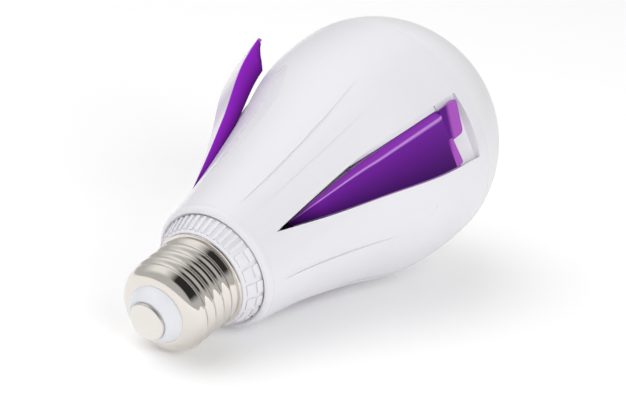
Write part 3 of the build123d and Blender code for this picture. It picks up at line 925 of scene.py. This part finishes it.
class LAMP_OT_wings(bpy.types.Operator):
    """Make the three purple wings and finish their pins"""

    bl_idname = "lamp.wings"
    bl_label = "Wings"

    def execute(self, context):
        wing = context.scene.lamp_wing
        form = WingForm(wing, context.scene.lamp_shell)
        purple = self.make_purple(wing)
        for name, angle in WING_DEG.items():
            bm = bmesh.new()
            places = {}
            self.add_blade(bm, form, places)
            is_open = name == "left"
            self.add_lips(bm, form, places, wing.open_reach if is_open else wing.lip_reach)
            self.add_hinge(bm, form)
            self.map_places(bm, places)
            smooth_shaded(bm, sharp_deg=38.0)
            laid = self.placed(form, angle, wing.left_open if is_open else 0.0)
            bmesh.ops.transform(bm, matrix=laid, verts=bm.verts)
            node = f"wing_{name}"
            blade = new_piece(f"wing_blade_{name}", bm, node, "wing_plastic", node)
            dress(purple.material, blade)
            steel = metal(f"pin_steel_{name}", (0.6, 0.6, 0.62), low=0.2, high=0.3)
            dress(steel.material, frame["nodes"][f"hinge_pin_{name}"])
        return {"FINISHED"}

    def placed(self, form, angle_deg, open_deg):
        """Opens a wing about its hinge and turns it to its place round the lamp."""
        wing = form.wing
        pin_r = outside_r(form.shell, wing.hinge_z) - wing.hinge_drop
        hinge = Matrix.Translation((pin_r, 0.0, wing.hinge_z))
        opened = hinge @ Matrix.Rotation(math.radians(open_deg), 4, "Y") @ hinge.inverted()
        return Matrix.Rotation(math.radians(angle_deg), 4, "Z") @ opened

    def add_blade(self, bm, form, places):
        """Raked body of the wing, whose end curves up to the lips."""
        wing = form.wing
        rows, lip_overlap = 44, 0.4
        length = wing.end_z - wing.end_curve - wing.start_z
        stations = []
        for k in range(rows + 1):
            z = wing.start_z + length * k / rows
            stations.append((z, wing.start_z + (z - wing.start_z) * wing.rake, 1.0, 1.0))
        deep = stations[-1][1]
        for share, depth, bevel in END_SECTIONS:
            z = wing.end_z - wing.end_curve * (1.0 - share)
            deep_z = deep + (wing.end_z - lip_overlap - deep) * share
            stations.append((z, deep_z, depth, bevel))
        rings = []
        for z, *shares in stations:
            ring = []
            for across, point in form.section(z, *shares):
                vert = bm.verts.new(point)
                places[vert] = (across, form.along(z))
                ring.append(vert)
            rings.append(ring)
        join_rings(bm, rings)
        bmesh.ops.recalc_face_normals(bm, faces=bm.faces)

    def add_lips(self, bm, form, places, reach):
        """Long lip by the ridge and short lip by the slanted edge."""
        wing = form.wing
        end = wing.end_z
        side, root, slant, tip_r = 0.05, 0.3, 2.1, 1.5
        s0 = form.near(end) + side
        s1 = s0 + wing.lip_width
        top = end + reach
        long_lip = [(s0, end - root), (s1, end - root), (s1, top - slant), (s0, top)]
        outline = rounded(long_lip, (0, 0, tip_r, tip_r))
        self.add_lip(bm, form, places, outline, sink=0.01, shift=0.0)
        tuck, side, root, low, high, tip_r = 1.0, 0.1, 1.6, 1.0, 1.7, 0.9
        near, far = s1 - tuck, form.far(end) - side
        short_lip = [(near, end - root), (far, end - root), (far, end + high), (near, end + low)]
        outline = rounded(short_lip, (0, 0, tip_r, tip_r))
        self.add_lip(bm, form, places, outline, sink=-0.02, shift=0.032)

    def add_lip(self, bm, form, places, outline, sink, shift):
        """Rounded plate under the face; shift moves where its brighter colour, painted for light showing through
        the thin lip, starts.
        """
        lean = 0.24
        rings = []
        for depth in (form.wing.lip_t, 0.0):
            ring = []
            for s, z in outline:
                vert = bm.verts.new(form.face(z, s, sink + depth))
                places[vert] = (LIP, form.along(z + lean * s) + shift)
                ring.append(vert)
            rings.append(ring)
        join_rings(bm, rings)
        top = set(rings[1])
        rim = [edge for edge in bm.edges if set(edge.verts) <= top]
        bmesh.ops.recalc_face_normals(bm, faces=bm.faces)
        made = bmesh.ops.bevel(
            bm, geom=rim, offset=0.28, segments=3, profile=0.5,
            affect="EDGES", material=-1, clamp_overlap=True,
        )
        for vert in made["verts"]:
            places[vert] = (LIP, form.along(vert.co.z + lean * vert.co.y) + shift)

    def add_hinge(self, bm, form):
        """Barrel round the pin and the neck that joins it to the blade."""
        wing = form.wing
        x = outside_r(form.shell, wing.hinge_z) - wing.hinge_drop
        aside, neck_out, neck_up, neck_size = 0.3, 1.3, 0.6, (2.6, 1.0, 3.0, 1.0)
        s = (form.near(wing.hinge_z) + form.far(wing.hinge_z)) / 2 - aside
        place = Matrix.Translation((x, s, wing.hinge_z)) @ Matrix.Rotation(math.pi / 2, 4, "X")
        bmesh.ops.create_cone(
            bm,
            cap_ends=True,
            segments=32,
            radius1=wing.barrel_r,
            radius2=wing.barrel_r,
            depth=wing.barrel_length,
            matrix=place,
        )
        neck = Matrix.Translation((x + neck_out, s, wing.hinge_z + neck_up))
        bmesh.ops.create_cube(bm, size=1.0, matrix=neck @ Matrix.Diagonal(neck_size))

    def map_places(self, bm, places):
        """Writes where each corner lies, across and along the wing, to a UV map."""
        layer = bm.loops.layers.uv.new("wing_place")
        for face in bm.faces:
            for loop in face.loops:
                loop[layer].uv = places.get(loop.vert, HINGE_PLACE)

    def make_purple(self, wing):
        """Purple painted with light and shade across the wing: lighter bevel, painted highlights along the ridge
        and the slanted edge, face darkening towards the slanted edge, side walls lighter at the top and darker at
        the foot.
        """
        finish = Finish("wing_purple")
        place = finish.node("ShaderNodeUVMap", {"uv_map": "wing_place"})
        across = finish.node("ShaderNodeSeparateXYZ", None, {0: place}, out="X")
        along = finish.node("ShaderNodeSeparateXYZ", None, {0: place}, out="Y")
        # Painted light and shade across the wing: the near wall darkens towards its foot, the bevel is painted
        # lighter, a painted highlight runs along the ridge, the face darkens towards the slanted edge, a thin
        # painted highlight lies on that edge, and the far wall is lighter by the edge and darker at its foot.
        stops = [
            (0.0, scaled(wing.face, 0.9)),
            (0.285, tuple(wing.bevel)),
            (0.352, tuple(wing.bevel)),
            (0.364, tuple(wing.highlight)),
            (0.376, tuple(wing.highlight)),
            (0.394, tuple(wing.face)),
            (0.822, tuple(wing.dark)),
            (0.831, tuple(wing.highlight)),
            (0.834, tuple(wing.highlight)),
            (0.840, scaled(wing.wall, 1.35)),
            (0.92, tuple(wing.wall)),
            (1.0, scaled(wing.wall, 0.4)),
        ]
        spread = finish.between(across, 0.0, 1.0, NEAR_FOOT, FAR_FOOT)
        body = finish.node("ShaderNodeValToRGB", {"stops": stops}, {0: spread})
        # Painted shade: the wing darkens towards its narrow end, deep in the pocket.
        tip = finish.between(along, 1.0, 0.0, 0.0, 0.2)
        body = finish.mixed(tip, body, scaled(wing.dark, 0.2))
        # Painted sheen: the face is painted pale where it is seen edge on.
        facing = finish.node("ShaderNodeLayerWeight", None, {"Blend": 0.5}, out="Facing")
        sheen_mask = finish.between(facing, 0.0, 1.0, 0.74, 0.86)
        body = finish.mixed(sheen_mask, body, tuple(wing.sheen))
        # Painted light: the lips are painted brighter from here on, for light showing through the thin plastic.
        lip_start, lip_full = 1.026, 1.052
        lips = finish.between(along, 0.0, 1.0, lip_start, lip_full)
        finish.set(
            Base_Color=finish.mixed(lips, body, tuple(wing.bright)),
            Roughness=finish.between(finish.noise(scale=150.0), 0.10, 0.16, *NOISE_RANGE),
            IOR=1.22,
            Coat_Weight=0.2,
            Coat_IOR=1.25,
            Coat_Roughness=0.04,
        )
        return finish


# Hidden parts: material, colour, and lowest and highest roughness of the metal ones
INSIDE_METALS = {
    "heat_sink": ("sink_aluminium", (0.75, 0.76, 0.78), 0.3, 0.45),
    "board_screws": ("screw_steel", (0.6, 0.6, 0.62), 0.2, 0.3),
    "battery_terminals": ("terminal_nickel", (0.75, 0.75, 0.74), 0.15, 0.3),
}
INSIDE_COLOURS = {
    "led_board": (0.85, 0.85, 0.83),
    "led_emitters": (0.85, 0.62, 0.10),
    "battery_cell": (0.02, 0.12, 0.35),
    "battery_holder": (0.01, 0.01, 0.012),
    "driver_board": (0.01, 0.10, 0.03),
    "driver_transformer": (0.50, 0.32, 0.03),
    "driver_capacitor": (0.01, 0.01, 0.02),
    "driver_inductor": (0.02, 0.08, 0.02),
    "contact_lead": (0.35, 0.01, 0.01),
}


class LAMP_OT_inside(bpy.types.Operator):
    """Finish the light source, the cell and the driver"""

    bl_idname = "lamp.inside"
    bl_label = "Inside"

    def execute(self, context):
        nodes = frame["nodes"]
        for node, (name, colour, low, high) in INSIDE_METALS.items():
            dress(metal(name, colour, low, high).material, nodes[node])
        for node, colour in INSIDE_COLOURS.items():
            dress(moulded(f"{node}_finish", colour, roughness=0.4).material, nodes[node])
        return {"FINISHED"}


# Lights: direction in the camera's frame, distance in m, side in m
LIGHTS = {
    "key": ((-0.42, 0.85, 0.35), 1.3, 1.6),
    "fill": ((0.62, 0.15, 1.0), 1.2, 0.8),
}


class LAMP_OT_stage(bpy.types.Operator):
    """Set the floor, the lights and the camera"""

    bl_idname = "lamp.stage"
    bl_label = "Stage"

    def execute(self, context):
        scene = context.scene
        stage = scene.lamp_stage
        scene.view_settings.view_transform = "Standard"
        self.make_floor(stage)
        self.make_world(scene, stage)
        camera = self.make_camera(scene, stage)
        self.make_lights(stage, camera)
        return {"FINISHED"}

    def make_floor(self, stage):
        """Pale floor under the lamp, lifted a little where the camera or gloss sees it."""
        bm = bmesh.new()
        bmesh.ops.create_grid(bm, x_segments=1, y_segments=1, size=stage.floor_size / 2)
        bmesh.ops.translate(bm, vec=(0.0, 0.0, CAD_BOX[0].z), verts=bm.verts)
        mesh = bpy.data.meshes.new("floor")
        bm.to_mesh(mesh)
        bm.free()
        floor = bpy.data.objects.new("floor", mesh)
        bpy.context.scene.collection.objects.link(floor)
        finish = Finish("floor_white")
        finish.set(Base_Color=(0.96, 0.96, 0.96, 1.0), Roughness=0.6, Specular_IOR_Level=0.0)
        seen = finish.node("ShaderNodeLightPath", out="Is Camera Ray")
        gloss = finish.node("ShaderNodeLightPath", out="Is Glossy Ray")
        passed = finish.node("ShaderNodeLightPath", out="Is Transmission Ray")
        direct = seen.greater_of(gloss).greater_of(passed)
        finish.set(Emission_Color=(1.0, 1.0, 1.0, 1.0), Emission_Strength=direct * stage.floor_glow)
        dress(finish.material, floor)

    def make_world(self, scene, stage):
        """Bright studio with a dark flag behind the camera and a window at the upper left.

        Both are set by the angle round the lamp's axis in degrees and by the climb along it.
        """
        world = bpy.data.worlds.new("studio")
        scene.world = world
        world.use_nodes = True
        sky = SkyFinish(world)
        way = sky.node("ShaderNodeTexCoord", out="Generated")
        across, around, climb = (sky.part_along(way, axis) for axis in LAMP.to_3x3().col)
        turn = around.angle_from(across) * math.degrees(1.0)
        flag = sky.window(turn, -46.0, -32.0, 18.0, 32.0)
        flag = flag * sky.window(climb, -0.5, -0.35, 0.58, 0.70)
        window = sky.window(turn, -112.0, -84.0, -62.0, -46.0)
        window = window * sky.between(climb, 0.0, 1.0, -0.45, -0.1)
        base = window * stage.sky_window + stage.sky_bright
        shown = base + flag * (stage.sky_dark - stage.sky_bright)
        seen = sky.node("ShaderNodeLightPath", out="Is Camera Ray")
        sky.shade(shown + seen * (1.0 - shown))

    def make_camera(self, scene, stage):
        """Camera fitted to the picture, turned so that the lamp's axis climbs as there."""
        place = LAMP @ (Vector(stage.camera_place) * MM)
        aim = LAMP @ (Vector(stage.camera_aim) * MM)
        back = (place - aim).normalized()
        climb = math.radians(stage.climb)
        along = (LAMP_UP - back * LAMP_UP.dot(back)).normalized()
        right = along * math.cos(climb) - back.cross(along) * math.sin(climb)
        above = back.cross(right)
        lens = bpy.data.cameras.new("camera")
        lens.lens = stage.lens
        lens.sensor_width = 36.0
        lens.clip_start = 0.01
        camera = bpy.data.objects.new("camera", lens)
        scene.collection.objects.link(camera)
        turn = Matrix((right, above, back)).transposed().to_4x4()
        camera.matrix_world = Matrix.Translation(place) @ turn
        scene.camera = camera
        return camera

    def make_lights(self, stage, camera):
        middle_z = 70.0
        centre = LAMP @ Vector((0.0, 0.0, middle_z * MM))
        turn = camera.matrix_world.to_3x3()
        powers = {"key": stage.key_power, "fill": stage.fill_power}
        for name, (way, distance, size) in LIGHTS.items():
            self.light(name, centre, turn @ Vector(way), distance, size, powers[name])

    def light(self, name, centre, way, distance, size, power):
        """Square soft light that faces the lamp from one side and isn't mirrored in it."""
        lamp = bpy.data.lights.new(name, "AREA")
        lamp.shape = "SQUARE"
        lamp.size = size
        lamp.energy = power
        holder = bpy.data.objects.new(name, lamp)
        bpy.context.scene.collection.objects.link(holder)
        way = way.normalized()
        turn = way.to_track_quat("Z", "Y").to_matrix().to_4x4()
        holder.matrix_world = Matrix.Translation(centre + way * distance) @ turn
        holder.visible_glossy = False


OPERATORS = (
    LAMP_OT_cap,
    LAMP_OT_contact,
    LAMP_OT_shell,
    LAMP_OT_collar,
    LAMP_OT_wings,
    LAMP_OT_inside,
    LAMP_OT_stage,
)


class LAMP_PT_panel(bpy.types.Panel):
    bl_idname = "LAMP_PT_panel"
    bl_label = "Lamp"
    bl_space_type = "VIEW_3D"
    bl_region_type = "UI"
    bl_category = "Lamp"

    def draw(self, context):
        for operator in OPERATORS:
            self.layout.operator(operator.bl_idname)


def register():
    for kind in (*SETTINGS.values(), *OPERATORS, LAMP_PT_panel):
        bpy.utils.register_class(kind)
    for name, kind in SETTINGS.items():
        setattr(bpy.types.Scene, name, bpy.props.PointerProperty(type=kind))


def unregister():
    for name in SETTINGS:
        delattr(bpy.types.Scene, name)
    for kind in reversed((*SETTINGS.values(), *OPERATORS, LAMP_PT_panel)):
        bpy.utils.unregister_class(kind)


def main():
    register()
    bpy.ops.lamp.cap()
    bpy.ops.lamp.contact()
    bpy.ops.lamp.shell()
    bpy.ops.lamp.collar()
    bpy.ops.lamp.wings()
    bpy.ops.lamp.inside()
    bpy.ops.lamp.stage()


if __name__ == "__main__":
    main()
